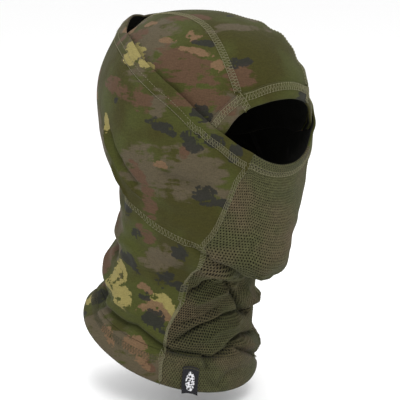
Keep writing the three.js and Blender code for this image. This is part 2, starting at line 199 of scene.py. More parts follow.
def head_point(x, y):
    """Point of the form at flat chart (x, y): turn = atan2(x, y), down = |(x, y)|.

    Over the crown psi = down/ARC * 90 deg, r = (sin^n psi + cos^n psi)^(-1/n), ring radius r sin psi
    and height RIM + TALL r cos psi; below it the height falls with down and the ring tilts.
    """
    down = np.maximum(np.hypot(x, y), 0.01)
    turn = np.arctan2(x, y)
    psi = np.minimum(down / ARC, 1) * math.pi / 2
    r = (np.sin(psi) ** POWER + np.maximum(np.cos(psi), 0) ** POWER) ** (-1 / POWER)
    over = down < ARC
    rho = np.where(over, r * np.sin(psi), 1)
    h = np.where(over, RIM + TALL * r * np.cos(psi), RIM - (down - ARC))
    centre, half, front, back = [f(np.clip(h, LOWEST, RIM)) for f in STATION_AT]
    slope = np.radians(np.maximum(0, TILT * (RIM - h) / (RIM - LOWEST)))
    reach = np.where(np.cos(turn) > 0, front, back) * rho * np.cos(turn)
    return np.stack([half * rho * np.sin(turn), centre - reach * np.cos(slope), h - reach * np.sin(slope)], -1)


def head_normal(x, y):
    """Unit normal of head_point by central differences."""
    e = 0.5
    dx = head_point(x + e, y) - head_point(x - e, y)
    dy = head_point(x, y + e) - head_point(x, y - e)
    n = np.cross(dy, dx)
    return n / np.linalg.norm(n, axis=-1, keepdims=True)


def chart(turn, down):
    """Chart point of a turn in degrees and a distance down from the top of the head."""
    a = np.radians(turn)
    return down * np.sin(a), down * np.cos(a)


def chart_curve(points):
    """Smooth curve through chart points by chord length, for 0 to 1."""
    p = np.asarray(points, float)
    k = np.concatenate([[0], np.cumsum(np.hypot(*np.diff(p, axis=0).T))])
    fx, fy = spline(k, p[:, 0]), spline(k, p[:, 1])
    return lambda u: (fx(np.asarray(u) * k[-1]), fy(np.asarray(u) * k[-1]))


def turn_curve(points):
    """Curve through (turn, down) points, as a function of its share u."""
    return chart_curve([chart(a, d) for a, d in points])


def fold_curves():
    """The folds as points on the form, evenly spaced, with a height that fades to its ends."""
    out = []
    for points, width, height in FOLDS:
        u = np.linspace(0, 1, 32)
        x, y = turn_curve(points)(u)
        fade = FOLD_GAIN * smooth(np.minimum(u, 1 - u) * 5)
        out.append((head_point(x, y), width, height * fade))
    return out


FOLD_CURVES = fold_curves()


def relief(x, y):
    """Sum over folds of height * exp(-(distance/width)^1.45), with slow waves on the loose neck."""
    base = head_point(x, y)
    flat = base.reshape(-1, 3)
    total = np.zeros(len(flat))
    for curve, width, height in FOLD_CURVES:
        low, high = curve.min(0) - 3.5 * width, curve.max(0) + 3.5 * width
        near = np.nonzero(((flat > low) & (flat < high)).all(-1))[0]
        if len(near) == 0:
            continue
        start, step = curve[:-1], np.diff(curve, axis=0)
        offset = flat[near, None, :] - start[None]
        t = np.clip((offset * step).sum(-1) / (step ** 2).sum(-1), 0, 1)
        d = np.linalg.norm(offset - t[..., None] * step, axis=-1)
        k = d.argmin(1)
        rows = np.arange(len(near))
        high_at = height[k] + (height[k + 1] - height[k]) * t[rows, k]
        total[near] += high_at * np.exp(-(d[rows, k] / width) ** 1.45)
    down = np.hypot(x, y)
    turn = np.arctan2(x, y)
    waves = (np.sin(down * 0.21 + 3 * turn) * np.sin(turn * 5 + down * 0.05)
             + 0.6 * np.sin(down * 0.43 - 4 * turn + 1.2))
    return total.reshape(base.shape[:-1]) + 0.7 * waves * smooth((down - 150) / 90) * smooth((345 - down) / 20)


def ease(x, y):
    """How far the whole cloth stands in at the back and out over the left of the brow, in waves there:
    -(3.2 + 1.4 exp(-((down - 165) / 18)^2)) s(back) - 4.2 exp(-cheek^2)
    + exp(-((turn - 42) / 22)^2) s(down) (3.0 + sin(0.2 down) + 0.5 sin(0.41 down))."""
    down = np.hypot(x, y)
    turn = np.degrees(np.arctan2(x, y))
    back = smooth((np.abs(turn) - 88) / 38) * smooth((down - 30) / 25) * smooth((362 - down) / 16)
    bow = np.exp(-((turn - 42) / 22) ** 2) * smooth((down - 36) / 20) * smooth((153 - down) / 11)
    waist = np.exp(-((down - 165) / 18) ** 2)
    cheek = 4.2 * np.exp(-((turn - 28) / 13) ** 2 - ((down - 222) / 14) ** 2)
    return -(3.2 + 1.4 * waist) * back - cheek + bow * (3.0 + np.sin(0.2 * down) + 0.5 * np.sin(0.41 * down))


def outer_lift(x, y):
    """Lift of the outer layer: falls from crown to neck, stands off at the back peak, flares at the hem."""
    down = np.hypot(x, y)
    turn = np.degrees(np.abs(np.arctan2(x, y)))
    near = smooth((turn - 88) / 34) * smooth((172 - down) / 30)
    base = 4.4 - 2.4 * smooth((down - 172) / 36) - 1.6 * near
    peak = smooth((turn - 122) / 30) * smooth((96 - down) / 40)
    hem = 1.4 * smooth((down - 314) / 6) + 5.5 * smooth((down - 328) / 13) * smooth((turn - 80) / 45)
    tip = smooth((turn - 138) / 26) * smooth((84 - down) / 26)
    return base + 4 * peak + 5.5 * tip + hem + relief(x, y) + ease(x, y)


def crown_lift(x, y):
    """The inner layer lies close on the form, with a trace of waviness."""
    return 0.3 + 0.25 * np.sin(x * 0.11 + 1) * np.sin(y * 0.09) + ease(x, y)


def brow_lift(x, y):
    """The brow band lies over the crown, a little prouder on the right."""
    turn = np.degrees(np.arctan2(x, y))
    return 1.1 + ease(x, y) + 0.5 * smooth((-turn - 10) / 20)


def surface(x, y, lift):
    """Form point plus normal times lift, in metres."""
    return (head_point(x, y) + head_normal(x, y) * np.asarray(lift)[..., None]) * MM * SCALE


def beside(curve, u, distance):
    """Chart point moved sideways from a chart curve by a true distance."""
    u = np.asarray(u, float)
    hx, hy = curve(u)
    ax, ay = curve(np.maximum(0, u - 0.01))
    bx, by = curve(np.minimum(1, u + 0.01))
    length = np.hypot(bx - ax, by - ay)
    sx, sy = -(by - ay) / length, (bx - ax) / length
    step = np.linalg.norm(head_point(hx + sx, hy + sy) - head_point(hx - sx, hy - sy), axis=-1)
    k = distance * 2 / step
    return hx + sx * k, hy + sy * k


# ---- colour fields ----
def blotches():
    """The placed blotches and seeded ones over the sides that they leave plain."""
    rows = [item.split() for item in BLOTCHES.replace("\n", " ").split(",")]
    out = [(r[0], *map(float, r[1:])) for r in rows]
    rng = np.random.RandomState(11)
    kinds = ["taupe", "brown", "charcoal", "khaki", "tan"]
    size = {"taupe": (17, 11), "brown": (12, 7), "charcoal": (9, 5), "khaki": (9, 8), "tan": (10, 4)}
    for down in range(28, 345, 22):
        count = 5 + int(down / 50)
        for i in range(count):
            turn = 54 + (186.0 * (i + rng.rand())) / count
            kind = kinds[rng.choice(5, p=[0.26, 0.24, 0.26, 0.09, 0.15])]
            a, b = size[kind]
            turn = turn if turn < 180 else turn - 360
            out.append((kind, turn, down + 16 * rng.rand(), a * (0.6 + 0.7 * rng.rand()),
                        b * (0.6 + 0.7 * rng.rand()), rng.uniform(-25, 25)))
    return out


SPOTS = blotches()


def colour_fields(x, y):
    """For each colour, the largest over its blotches of 1 - q/2, q the squared elliptic distance."""
    fields = {k: np.zeros(x.shape) for k in ("taupe", "brown", "charcoal", "khaki", "tan")}
    for kind, turn, down, a, b, angle in SPOTS:
        x0, y0 = chart(turn, down)
        t = math.radians(turn)
        e = 0.5
        tx, ty = math.cos(t), -math.sin(t)
        m = np.linalg.norm(head_point(np.array(x0 + e * tx), np.array(y0 + e * ty))
                           - head_point(np.array(x0 - e * tx), np.array(y0 - e * ty)))
        du = ((x - x0) * tx + (y - y0) * ty) * m
        dv = (x - x0) * math.sin(t) + (y - y0) * math.cos(t)
        c, s = math.cos(math.radians(angle)), math.sin(math.radians(angle))
        q = ((du * c + dv * s) / a) ** 2 + ((dv * c - du * s) / b) ** 2
        q = q / (1.8 if kind in ("taupe", "brown") else 1.35)
        fields[kind] = np.maximum(fields[kind], 1 - q / 2)
    # The crease field is painted shade: darkening in the creases and a painted shadow under the chin.
    fields["crease"] = crease_shade(x, y)
    return fields


def crease_shade(x, y):
    """Painted shade, how dark a crease is painted: -relief / 5 - 0.1, and a painted shadow 0.4 exp(-a^2 - b^2) in the
    hollow under the chin.
    """
    turn = np.degrees(np.arctan2(x, y))
    painted_chin_shadow = np.exp(-((np.hypot(x, y) - 243 - 0.2 * turn) / 10) ** 2 - ((turn + 12) / 36) ** 2)
    return np.clip(np.maximum(-relief(x, y) / 5 - 0.1, 0) + 0.4 * painted_chin_shadow, 0, 1)


# ---- mesh building ----
def make_object(name, points, faces, materials, fields=None, uv=None):
    """Mesh object with its colour fields, UVs and materials."""
    data = bpy.data.meshes.new(name)
    data.from_pydata(points, [], faces)
    for key, values in (fields or {}).items():
        data.attributes.new(key, "FLOAT", "POINT").data.foreach_set("value", values.ravel().astype(np.float32))
    if uv is not None:
        loops = np.empty(len(data.loops), np.int32)
        data.loops.foreach_get("vertex_index", loops)
        data.uv_layers.new(name="UVMap").data.foreach_set("uv", uv.reshape(-1, 2)[loops].ravel())
    for m in materials:
        data.materials.append(m)
    data.polygons.foreach_set("use_smooth", np.ones(len(data.polygons), bool))
    data.update()
    obj = bpy.data.objects.new(name, data)
    bpy.context.scene.collection.objects.link(obj)
    return obj


def solidify(obj, thick):
    """Gives a sheet its thickness inwards, with the dark inner material."""
    mod = obj.modifiers.new("thickness", "SOLIDIFY")
    mod.thickness = thick * MM
    mod.offset = -1
    mod.material_offset = 1
    mod.use_even_offset = False
    return mod


def attach(obj, pulled):
    """Rides the body, or rides the mask edge where the mask pulls it, or else, when pulled, has its placing baked
    into its points.
    """
    if pulled == "edge":
        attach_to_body(obj, "mask_edge")
    elif pulled:
        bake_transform(obj)
    else:
        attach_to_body(obj, "balaclava_body")


def grid(name, chart_of, nu, nv, lift, thick, nodes, mats, pulled=False, puff=0.0, flip=False):
    """Sheet: chart_of(s, t) on a (nu, nv) grid, lifted by lift + thick, rounded down by puff at its edges."""
    s, t = np.meshgrid(np.linspace(0, 1, nu + 1), np.linspace(0, 1, nv + 1), indexing="ij")
    x, y = chart_of(s, t)
    x = -x if flip else x
    edge = np.abs(2 * t - 1)
    up = lift(x, y) + thick - puff * edge ** 8
    p = surface(x, y, up)
    index = np.arange((nu + 1) * (nv + 1)).reshape(nu + 1, nv + 1)
    quads = np.stack([index[:-1, :-1], index[1:, :-1], index[1:, 1:], index[:-1, 1:]], -1).reshape(-1, 4)
    mid = p[nu // 2, nv // 2]
    cross = np.cross(p[nu // 2 + 1, nv // 2] - mid, p[nu // 2, nv // 2 + 1 if nv > 1 else nv] - mid
                     if nv > 1 else p[nu // 2, 1] - p[nu // 2, 0])
    normal = head_normal(x[nu // 2, nv // 2], y[nu // 2, nv // 2])
    if np.dot(cross, normal) < 0:
        quads = quads[:, ::-1]
    across = np.linalg.norm(np.diff(p, axis=1), axis=-1).sum(1).mean()
    along = np.linalg.norm(np.diff(p, axis=0), axis=-1).sum(0).mean()
    uv = np.stack([s * along / MM, t * across / MM], -1)
    obj = make_object(name, p.reshape(-1, 3), quads.tolist(), mats, colour_fields(x, y), uv)
    solidify(obj, thick)
    if nodes:
        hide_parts(*nodes)
    attach(obj, pulled)
    return obj


def tube(path, normal, side_radius, rings=5):
    """Tube of the given radius round a path, its first ring direction along the normal."""
    tangent = np.gradient(path, axis=0)
    tangent /= np.linalg.norm(tangent, axis=1, keepdims=True) + 1e-12
    b = np.cross(tangent, normal)
    b /= np.linalg.norm(b, axis=1, keepdims=True) + 1e-12
    n = np.cross(b, tangent)
    a = np.linspace(0, 2 * math.pi, rings, endpoint=False)
    ring = path[:, None] + side_radius * (np.cos(a)[None, :, None] * n[:, None]
                                          + np.sin(a)[None, :, None] * b[:, None])
    k = len(path)
    i = np.arange(k - 1)[:, None] * rings
    j = np.arange(rings)[None]
    j2 = (j + 1) % rings
    quads = np.stack([i + j, i + j2, i + rings + j2, i + rings + j], -1).reshape(-1, 4).tolist()
    caps = [list(range(rings))[::-1], [(k - 1) * rings + q for q in range(rings)]]
    return ring.reshape(-1, 3), quads + caps


def seam(name, curve, start, end, width, lift, node, mats, pulled=False, flip=False, band=True, pitch=2.5,
         rungs=0.0, thread="thread"):
    """Flat seam: a cloth band with a zigzag thread across it from the share `rungs` of its length on, and
    a running stitch along each edge that dips under the cloth."""
    u = np.linspace(start, end, 400)
    x, y = curve(u)
    p = head_point(x, y)
    length = np.linalg.norm(np.diff(p, axis=0), axis=1).sum()
    if band:
        strip = lambda s, t: beside(curve, start + (end - start) * s, (t - 0.5) * width)
        grid(name + "_band", strip, max(8, int(length / 1.6)), 6, lambda a, b: lift(a, b) - 0.15, 0.4, [],
             mats, pulled, puff=0.4, flip=flip)
    count = int(length / pitch) * 4
    k = np.arange(count + 1)
    at = (start + (end - start) * k / count)[k >= rungs * count]
    wave = np.array([0.0, 1.0, 0.0, -1.0])[k % 4][k >= rungs * count]
    paths = [(at, wave * width * 0.46, 0.22)] if rungs < 1 else []
    rail = start + (end - start) * np.linspace(0, 1, max(8, int(length / 0.62)))
    bob = 0.42 * np.sin(np.arange(len(rail)) * 1.57)
    paths += [(rail, np.full(len(rail), width * q), 0.2) for q in (-0.4, 0.4)]
    points, faces, start_index = [], [], 0
    for (uu, off, radius) in paths:
        cx, cy = beside(curve, uu, off)
        cx = -cx if flip else cx
        up = lift(cx, cy) + (0.3 if band else 0.08)
        if radius < 0.21:
            up = up + bob - 0.14
        v, f = tube(surface(cx, cy, up), head_normal(cx, cy), radius * MM)
        points.append(v)
        faces += [[i + start_index for i in q] for q in f]
        start_index += len(v)
    obj = make_object(name, np.concatenate(points), faces, [bpy.data.materials[thread]])
    if node:
        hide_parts(node)
    attach(obj, pulled)
    return obj


# ---- materials ----
def new_material(name):
    """Material with one Principled shader: returns it, its node tree and the shader."""
    mat = bpy.data.materials.new(name)
    mat.use_nodes = True
    nt = mat.node_tree
    nt.nodes.clear()
    out = nt.nodes.new("ShaderNodeOutputMaterial")
    bsdf = nt.nodes.new("ShaderNodeBsdfPrincipled")
    nt.links.new(bsdf.outputs[0], out.inputs[0])
    return mat, nt, bsdf


def math_node(nt, op, a, b=None, clamp=False):
    """Adds one maths node and returns its output."""
    n = nt.nodes.new("ShaderNodeMath")
    n.operation = op
    n.use_clamp = clamp
    for i, v in enumerate((a, b)):
        if v is None:
            continue
        if isinstance(v, (int, float)):
            n.inputs[i].default_value = v
        else:
            nt.links.new(v, n.inputs[i])
    return n.outputs[0]


def noise(nt, vector, scale, detail=2.0):
    """Noise texture of the given scale on a vector."""
    n = nt.nodes.new("ShaderNodeTexNoise")
    n.inputs["Scale"].default_value = scale
    n.inputs["Detail"].default_value = detail
    nt.links.new(vector, n.inputs["Vector"])
    return n.outputs[0]


def blend_colour(nt, factor, a, b):
    """Mixes two colours by a factor."""
    m = nt.nodes.new("ShaderNodeMix")
    m.data_type = "RGBA"
    nt.links.new(factor, m.inputs[0])
    for socket, v in ((m.inputs[6], a), (m.inputs[7], b)):
        if not isinstance(v, bpy.types.NodeSocket):
            socket.default_value = (*v[:3], 1)
        else:
            nt.links.new(v, socket)
    return m.outputs[2]


def cloth_finish(nt, bsdf, height, strength, distance):
    """Bump and soft sheen shared by the cloths."""
    coords = nt.nodes.new("ShaderNodeTexCoord").outputs["Object"]
    crease = nt.nodes.new("ShaderNodeBump")
    crease.inputs["Strength"].default_value = 0.35
    crease.inputs["Distance"].default_value = 0.003
    nt.links.new(noise(nt, coords, 65, 4), crease.inputs["Height"])
    bump = nt.nodes.new("ShaderNodeBump")
    bump.inputs["Strength"].default_value = strength
    bump.inputs["Distance"].default_value = distance
    nt.links.new(height, bump.inputs["Height"])
    nt.links.new(crease.outputs[0], bump.inputs["Normal"])
    nt.links.new(bump.outputs[0], bsdf.inputs["Normal"])
    bsdf.inputs["Roughness"].default_value = 0.88
    bsdf.inputs["Specular IOR Level"].default_value = 0.08
    bsdf.inputs["Sheen Weight"].default_value = 0.03
    bsdf.inputs["Sheen Roughness"].default_value = 0.5


def camo_material(name, p, netting=False, dots=True):
    """Blotches cut from the colour fields by stepped noise, over a slowly varying ground."""
    mat, nt, bsdf = new_material(name)
    coords = nt.nodes.new("ShaderNodeTexCoord").outputs["Object"]
    snap = nt.nodes.new("ShaderNodeVectorMath")
    snap.operation = "SNAP"
    snap.inputs[1].default_value = (0.0022, 0.0022, 0.0013)
    nt.links.new(coords, snap.inputs[0])
    stepped = math_node(nt, "SUBTRACT", noise(nt, snap.outputs[0], 190, 3), 0.5)
    flat = nt.nodes.new("ShaderNodeVectorMath")
    flat.operation = "MULTIPLY"
    flat.inputs[1].default_value = (1, 1, 3.4)
    nt.links.new(coords, flat.inputs[0])
    soft = math_node(nt, "SUBTRACT", noise(nt, flat.outputs[0], 70, 4), 0.5)
    ground = noise(nt, coords, 26, 2)
    shade = math_node(nt, "MULTIPLY", math_node(nt, "SUBTRACT", ground, 0.42), 5.0, True)
    colour = blend_colour(nt, shade, p.olive, p.green)
    if netting:
        colour = blend_colour(nt, math_node(nt, "MULTIPLY", math_node(nt, "SUBTRACT", ground, 0.44), 4.0, True),
                              p.mesh_green, p.mesh_brown)
        above = math_node(nt, "SUBTRACT", noise(nt, flat.outputs[0], 17, 2), 0.52)
        dark = math_node(nt, "MULTIPLY", above, 3.0, True)
        colour = blend_colour(nt, math_node(nt, "MULTIPLY", dark, 0.7), colour, p.mesh_dark)
    else:
        layers = (("taupe", p.taupe, 1.0, 2.6, 2.6), ("brown", p.brown, 1.1, 2.8, 3.0),
                  ("khaki", p.khaki, 2.2, 2.0, 9.0), ("tan", p.tan, 2.0, 2.0, 8.0),
                  ("charcoal", p.charcoal, 2.0, 2.0, 10.0))
        for key, rgb, jag, drift, sharp in layers:
            attr = nt.nodes.new("ShaderNodeAttribute")
            attr.attribute_name = key
            jitter = math_node(nt, "ADD", math_node(nt, "MULTIPLY", stepped, jag),
                               math_node(nt, "MULTIPLY", soft, drift))
            near = math_node(nt, "MULTIPLY", attr.outputs["Fac"], 2.2, True)
            value = math_node(nt, "ADD", attr.outputs["Fac"], math_node(nt, "MULTIPLY", jitter, near))
            factor = math_node(nt, "MULTIPLY", math_node(nt, "SUBTRACT", value, 0.5 - 0.5 / sharp), sharp, True)
            factor = math_node(nt, "MULTIPLY", factor, 0.92)
            colour = blend_colour(nt, factor, colour, tuple(rgb))
    grain = noise(nt, coords, 560 if netting else 900, 2)
    rows = nt.nodes.new("ShaderNodeVectorMath")
    rows.operation = "MULTIPLY"
    rows.inputs[1].default_value = (1, 1, 7)
    nt.links.new(coords, rows.inputs[0])
    knit = noise(nt, rows.outputs[0], 260, 3)
    grain = math_node(nt, "ADD", math_node(nt, "MULTIPLY", grain, 0.5), math_node(nt, "MULTIPLY", knit, 0.5))
    strong = 2.2 if netting else 1.2
    tone = math_node(nt, "ADD", math_node(nt, "MULTIPLY", grain, strong), 1 - strong / 2)
    scale = nt.nodes.new("ShaderNodeVectorMath")
    scale.operation = "SCALE"
    nt.links.new(colour, scale.inputs[0])
    nt.links.new(tone, scale.inputs["Scale"])
    # Painted shade: the crease attribute darkens the colour towards near black in the creases and under the chin.
    painted_fold_shade = nt.nodes.new("ShaderNodeAttribute")
    painted_fold_shade.attribute_name = "crease"
    final = blend_colour(nt, math_node(nt, "MULTIPLY", painted_fold_shade.outputs["Fac"], 0.4, True), scale.outputs[0],
                         (0.008, 0.009, 0.004))
    height = grain
    if netting and dots:
        uv = nt.nodes.new("ShaderNodeUVMap")
        uv.uv_map = "UVMap"
        split = nt.nodes.new("ShaderNodeSeparateXYZ")
        nt.links.new(uv.outputs[0], split.inputs[0])
        tau = 2 * math.pi
        a = math_node(nt, "COSINE", math_node(nt, "MULTIPLY", split.outputs[0], tau / 2.3))
        b = math_node(nt, "COSINE", math_node(nt, "MULTIPLY", split.outputs[1], tau / 4.0))
        dots = math_node(nt, "MULTIPLY", a, b)
        hole = math_node(nt, "MULTIPLY", math_node(nt, "SUBTRACT", dots, 0.24), 4.0, True)
        final = blend_colour(nt, math_node(nt, "MULTIPLY", hole, 0.92), final, (0.006, 0.006, 0.005))
        height = math_node(nt, "SUBTRACT", grain, hole)
    nt.links.new(final, bsdf.inputs["Base Color"])
    cloth_finish(nt, bsdf, height, 0.35, 0.0006)
    return mat


def plain_material(name, rgb, variation=0.2, scale=700, sharp=1.0):
    """One-colour material with a little variation."""
    mat, nt, bsdf = new_material(name)
    coords = nt.nodes.new("ShaderNodeTexCoord").outputs["Object"]
    grain = noise(nt, coords, scale, 2)
    dark = tuple(c * (1 - variation) for c in rgb[:3])
    light = tuple(min(1, c * (1 + variation)) for c in rgb[:3])
    spread = math_node(nt, "MULTIPLY", math_node(nt, "SUBTRACT", grain, 0.5), sharp)
    share = math_node(nt, "ADD", spread, 0.5, True)
    nt.links.new(blend_colour(nt, share, dark, light), bsdf.inputs["Base Color"])
    cloth_finish(nt, bsdf, grain, 0.3, 0.0004)
    return mat


# ---- seam curves ----
hood_edge = turn_curve(HOOD_EDGE)
crown_join = chart_curve(CROWN_JOIN)
crown_low = turn_curve(CROWN_LOW)
brow_top = turn_curve(BROW_TOP + [(-a, d) for a, d in BROW_TOP[-2::-1]])
brow_edge = turn_curve(BROW_EDGE + [(-a, d) for a, d in BROW_EDGE[-2::-1]])
mesh_side = spline([p[0] for p in MESH_SIDE], [p[1] for p in MESH_SIDE])
neck_down = spline([p[0] for p in NECK_SEAM], [p[1] for p in NECK_SEAM])
SIDES = (("right", False), ("left", True))


def mix(a, b, t):
    """Straight blend from a to b."""
    return a + (b - a) * t


def hood_line(u, distance):
    """Turn and distance down of the line below the hood edge, ending at the mesh side line."""
    x, y = beside(hood_edge, u * (1 - 0.0012 * distance), distance)
    down = np.hypot(x, y)
    turn = np.degrees(np.arctan2(x, y))
    turn = np.where((turn > 90) | (u == 0), -180.0, turn)
    return np.minimum(turn, mesh_side(down)), down


def mask_top(turn):
    """Distance down of the upper edge of the mask at a turn."""
    return MASK_TOP - 8 * (np.minimum(22, np.abs(turn)) / 22) ** 2


# ---- settings ----
def colour_property(name, text, rgb):
    """Linear colour setting."""
    return bpy.props.FloatVectorProperty(name=name, description=text, default=rgb, size=3, min=0, max=1,
                                         subtype="COLOR")


class BalaclavaSettings(bpy.types.PropertyGroup):
    """Sizes and colours of the balaclava."""
    fabric: bpy.props.FloatProperty(name="Fabric", description="Thickness of one layer, mm", default=1.2)
    hem: bpy.props.FloatProperty(name="Hem", description="Thickness of folded cloth, mm", default=1.7)
    tape: bpy.props.FloatProperty(name="Seam width", description="Width of the flat seams, mm", default=6.2)
    pitch: bpy.props.FloatProperty(name="Mesh pitch", description="Distance between mesh holes, mm", default=2.2)
    hole: bpy.props.FloatProperty(name="Mesh hole", description="Radius of a mesh hole, mm", default=0.69)
    olive: colour_property("Olive", "Darker ground colour", (0.032, 0.0295, 0.0068))
    green: colour_property("Green", "Greener ground colour", (0.040, 0.044, 0.0105))
    taupe: colour_property("Taupe", "Large soft blotches", (0.066, 0.053, 0.033))
    brown: colour_property("Brown", "Brown blotches", (0.066, 0.037, 0.022))
    charcoal: colour_property("Charcoal", "Dark blotches", (0.017, 0.017, 0.014))
    khaki: colour_property("Khaki", "Yellow blotches", (0.19, 0.16, 0.056))
    tan: colour_property("Tan", "Tan blotches", (0.115, 0.070, 0.038))
    mesh_green: colour_property("Mesh green", "Greener mesh tint", (0.051, 0.051, 0.022))
    mesh_brown: colour_property("Mesh brown", "Browner mesh tint", (0.071, 0.055, 0.031))
    mesh_dark: colour_property("Mesh dark", "Darker mesh patches", (0.030, 0.034, 0.014))
    thread: colour_property("Thread", "Sewing thread", (0.155, 0.146, 0.086))


def settings():
    """The settings of this scene."""
    return bpy.context.scene.balaclava


def cloth_mats():
    """Outer and inner material of a knitted panel."""
    return [bpy.data.materials["camo"], bpy.data.materials["inside"]]


def mesh_mats():
    """Outer and inner material of the netting."""
    return [bpy.data.materials["netting"], bpy.data.materials["inside"]]


class BALACLAVA_OT_materials(bpy.types.Operator):
    """Makes the cloth, mesh, thread and tag materials"""
    bl_idname = "balaclava.materials"
    bl_label = "Materials"

    def execute(self, context):
        p = settings()
        camo_material("camo", p)
        camo_material("netting", p, netting=True)
        camo_material("netting_plain", p, netting=True, dots=False)
        plain_material("inside", (0.012, 0.012, 0.009))
        plain_material("thread", tuple(p.thread), 0.35, 1200)
        plain_material("thread_dim", tuple(0.85 * c for c in p.thread), 0.35, 1200)
        plain_material("thread_dark", tuple(0.32 * c for c in p.thread), 0.35, 1200)
        plain_material("tag", (0.016, 0.016, 0.018))
        plain_material("mark", (0.30, 0.30, 0.31), 0.9, 700, 14)
        return {"FINISHED"}


class BALACLAVA_OT_crown(bpy.types.Operator):
    """Builds the inner crown: middle panel, side panels and their flat seams"""
    bl_idname = "balaclava.crown"
    bl_label = "Crown"

    def execute(self, context):
        p = settings()

        def middle(s, t):
            x, y = crown_join(s)
            return mix(x, -x, t), y + (4.5 * np.sin(np.pi * t) + 5) * smooth(1 - s * 6)
        grid("crown_centre", middle, 150, 50, crown_lift, p.fabric, ["crown_centre_panel"],
             cloth_mats())
        for side, flip in SIDES:
            def panel(s, t):
                x, y = crown_join(0.97 * s)
                lx, ly = crown_low(s)
                return mix(x, lx, t), mix(y, ly, t) + 5 * smooth(1 - s * 8)
            grid(f"crown_side_{side}", panel, 120, 90, crown_lift, p.fabric, [f"crown_side_panel_{side}"],
                 cloth_mats(), flip=flip)
            seam(f"crown_seam_thread_{side}", crown_join, 0.0, 0.96, p.tape, lambda x, y: crown_lift(x, y) + p.fabric,
                 f"crown_seam_{side}", cloth_mats(), flip=flip)
        return {"FINISHED"}


class BALACLAVA_OT_brow(bpy.types.Operator):
    """Builds the folded brow band, its stitch rows and its two short seams"""
    bl_idname = "balaclava.brow"
    bl_label = "Brow band"

    def execute(self, context):
        p = settings()
        split = 0.235

        def band(a, b):
            def at(s, t):
                u = mix(a, b, s)
                tx, ty = brow_top(u)
                ex, ey = brow_edge(u)
                return mix(tx, ex, t), mix(ty, ey, t)
            return at
        top = lambda x, y: brow_lift(x, y) + p.hem

        def row(u):
            return tuple(mix(a, b, 0.3) for a, b in zip(brow_top(u), brow_edge(u)))

        def down(u):
            return tuple(mix(a, b, u) for a, b in zip(brow_top(split), brow_edge(split)))
        grid("brow_centre", band(split, 1 - split), 80, 20, brow_lift, p.hem, ["brow_band_centre"],
             cloth_mats(), puff=1.4)
        seam("brow_row_centre", row, split + 0.02, 1 - split - 0.02, p.tape, top, "brow_stitch_centre",
             cloth_mats())
        for side, flip in SIDES:
            grid(f"brow_{side}", band(0, split), 40, 20, brow_lift, p.hem, [f"brow_band_{side}"],
                 cloth_mats(), puff=1.4, flip=flip)
            seam(f"brow_row_{side}", row, 0.04, split - 0.015, p.tape, top, f"brow_stitch_{side}", cloth_mats(),
                 flip=flip)
            seam(f"brow_join_{side}", down, 0.02, 0.97, p.tape, top, f"brow_seam_{side}", cloth_mats(), flip=flip)
        return {"FINISHED"}


class BALACLAVA_OT_hood(bpy.types.Operator):
    """Builds the outer hood: side panels, folded edge, stitch rows and back seam"""
    bl_idname = "balaclava.hood"
    bl_label = "Hood"

    def execute(self, context):
        p = settings()

        def panel(s, t):
            turn0, down0 = hood_line(s, HOOD_HEM)
            low = mix(-180.0, mesh_side(226.0), s)
            down = mix(down0, neck_down(low), t)
            end_turn, end_down = hood_line(np.ones_like(s), HOOD_HEM)
            plain = mix(end_turn, mesh_side(226.0), t)
            front = mesh_side(mix(end_down, neck_down(mesh_side(226.0)), t))
            return chart(-180 + (mix(turn0, low, t) + 180) * (front + 180) / (plain + 180), down)

        def edge(s, t):
            return chart(*hood_line(s, HOOD_HEM * t))

        def row(u):
            return chart(*hood_line(np.asarray(u, float), HOOD_HEM - 3.2))

        def back(u):
            return chart(180.0, mix(76, 191, u))
        for side, flip in SIDES:
            grid(f"hood_side_{side}", panel, 200, 130, outer_lift, p.fabric, [f"hood_side_panel_{side}"],
                 cloth_mats(), pulled=True, flip=flip)
            grid(f"hood_edge_{side}", edge, 200, 16, outer_lift, p.hem, [f"hood_edge_hem_{side}"],
                 cloth_mats(), pulled=True, puff=0.5, flip=flip)
            seam(f"hood_row_{side}", row, 0.002, 0.985, p.tape, lambda x, y: outer_lift(x, y) + p.hem,
                 f"hood_hem_stitch_{side}", cloth_mats(), pulled=True, flip=flip, band=False, rungs=0.72,
                 thread="thread_dim")
        seam("hood_back", back, 0, 1, p.tape, lambda x, y: outer_lift(x, y) + p.fabric, "hood_back_seam",
             cloth_mats())
        return {"FINISHED"}


